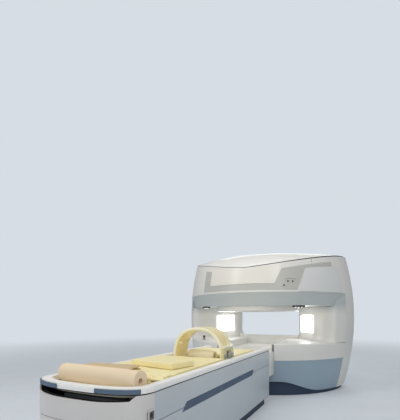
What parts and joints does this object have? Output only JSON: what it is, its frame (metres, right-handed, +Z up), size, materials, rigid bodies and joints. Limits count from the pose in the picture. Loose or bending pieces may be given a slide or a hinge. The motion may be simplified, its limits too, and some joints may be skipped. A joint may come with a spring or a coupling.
{
  "type": "open magnetic resonance scanner",
  "caption": "Open magnetic resonance scanner: round-nosed gantry with upper and lower poles on side columns, docked lifting table, sliding tabletop and arched receive coil.",
  "frame": {"origin": "on the floor under the centre of the magnet gap, at the underside of the middle levelling foot", "axes": "+X to the right seen from the patient table, +Y from the foot of the table into the gantry, +Z up"},
  "size_m": [2.5588, 4.3217, 1.94],
  "materials": {
    "white_cover": "satin white moulded cover",
    "warm_cover": "warm white moulded panel",
    "inlay_grey": "grey satin inlay",
    "slate": "dark slate blue",
    "table_side": "light grey satin panel",
    "rim_white": "white rim",
    "rubber_black": "black rubber",
    "steel_paint": "grey painted steel",
    "yoke_steel": "machined yoke iron",
    "magnet_steel": "plated magnet blocks",
    "rail_aluminium": "anodised rail",
    "coil_resin": "cast resin winding plate",
    "coil_cream": "cream moulded coil housing",
    "pad_cream": "cream coated pad cover",
    "pad_tan": "tan coated pad cover",
    "key_dark": "dark grey key",
    "paper_white": "white couch paper",
    "lit_white": "lit white diffuser",
    "runner_plastic": "black bearing plastic"
  },
  "bodies": {
    "gantry": {"levelling_feet": "steel_paint", "floor_plinth": "slate", "lower_yoke_plate": "yoke_steel", "upper_yoke_plate": "yoke_steel", "yoke_posts": "yoke_steel", "magnet_discs": "magnet_steel", "pole_pieces": "yoke_steel", "gradient_coils": "coil_resin", "rf_coils": "coil_resin", "lower_deck": "white_cover", "upper_pole_cover": "white_cover", "upper_ceiling": "white_cover", "upper_chamfer": "white_cover", "left_column_cover": "white_cover", "right_column_cover": "white_cover", "light_panels": "lit_white", "upper_front_shell": "white_cover", "left_lower_fascia": "warm_cover", "right_lower_fascia": "warm_cover", "lower_skirt": "white_cover", "left_side_shell": "white_cover", "right_side_shell": "white_cover", "rear_upper_cover": "white_cover", "rear_lower_cover": "white_cover", "top_cover": "white_cover", "fascia_inlay": "inlay_grey", "name_panel": "warm_cover", "right_raised_panel": "warm_cover", "dock_cover": "warm_cover", "stop_ring": "inlay_grey", "skirt_panels": "table_side", "lower_foot_cover": "table_side", "side_stripes": "slate", "table_floor_frame": "steel_paint", "toe_kick": "slate", "lift_outer_columns": "steel_paint"},
    "tub": {"tub_panels": "table_side", "upper_foot_cover": "table_side", "side_socket": "inlay_grey", "tub_liner": "steel_paint", "table_rim": "rim_white", "rim_seal": "rubber_black", "foot_grips": "slate", "lift_inner_columns": "rail_aluminium", "lift_frame": "steel_paint", "slide_rails": "rail_aluminium"},
    "tabletop": {"cradle_board": "rim_white", "cradle_runners": "runner_plastic", "table_pad": "pad_cream", "coil_base": "coil_cream", "coil_arch": "coil_cream", "head_roll": "pad_cream", "foam_block": "pad_cream", "folded_pad": "pad_tan", "paper_roll": "paper_white"},
    "latch": {"coil_latch": "inlay_grey"},
    "light_key": {"light_button": "key_dark"},
    "fan_key": {"fan_button": "key_dark"},
    "table_key": {"table_button": "key_dark"},
    "stop_key": {"stop_button": "key_dark"}
  },
  "joints": [
    {"name": "table_lift", "type": "slide", "parent": "gantry", "child": "tub", "axis": [0, 0, 1], "range_m": [0, 0.08]},
    {"name": "tabletop_slide", "type": "slide", "parent": "tub", "child": "tabletop", "axis": [0, 1, 0], "range_m": [0, 1.3]},
    {"name": "latch_hinge", "type": "hinge", "parent": "tabletop", "child": "latch", "pos_m": [0.323, -1.93, 0.652], "axis": [0, 1, 0], "range_deg": [0, 35]},
    {"name": "light_key_press", "type": "slide", "parent": "gantry", "child": "light_key", "axis": [-0.4633, 0.8771, -0.1265], "range_m": [0, 0.0003], "stiffness_N_per_m": 800, "springref_m": -0.0002},
    {"name": "fan_key_press", "type": "slide", "parent": "gantry", "child": "fan_key", "axis": [-0.4935, 0.8581, -0.1417], "range_m": [0, 0.0003], "stiffness_N_per_m": 800, "springref_m": -0.0002},
    {"name": "table_key_press", "type": "slide", "parent": "gantry", "child": "table_key", "axis": [-0.5309, 0.8356, -0.1411], "range_m": [0, 0.0003], "stiffness_N_per_m": 800, "springref_m": -0.0002},
    {"name": "stop_key_press", "type": "slide", "parent": "gantry", "child": "stop_key", "axis": [0, 0, -1], "range_m": [0, 0.005], "stiffness_N_per_m": 500, "springref_m": -0.002}
  ]
}
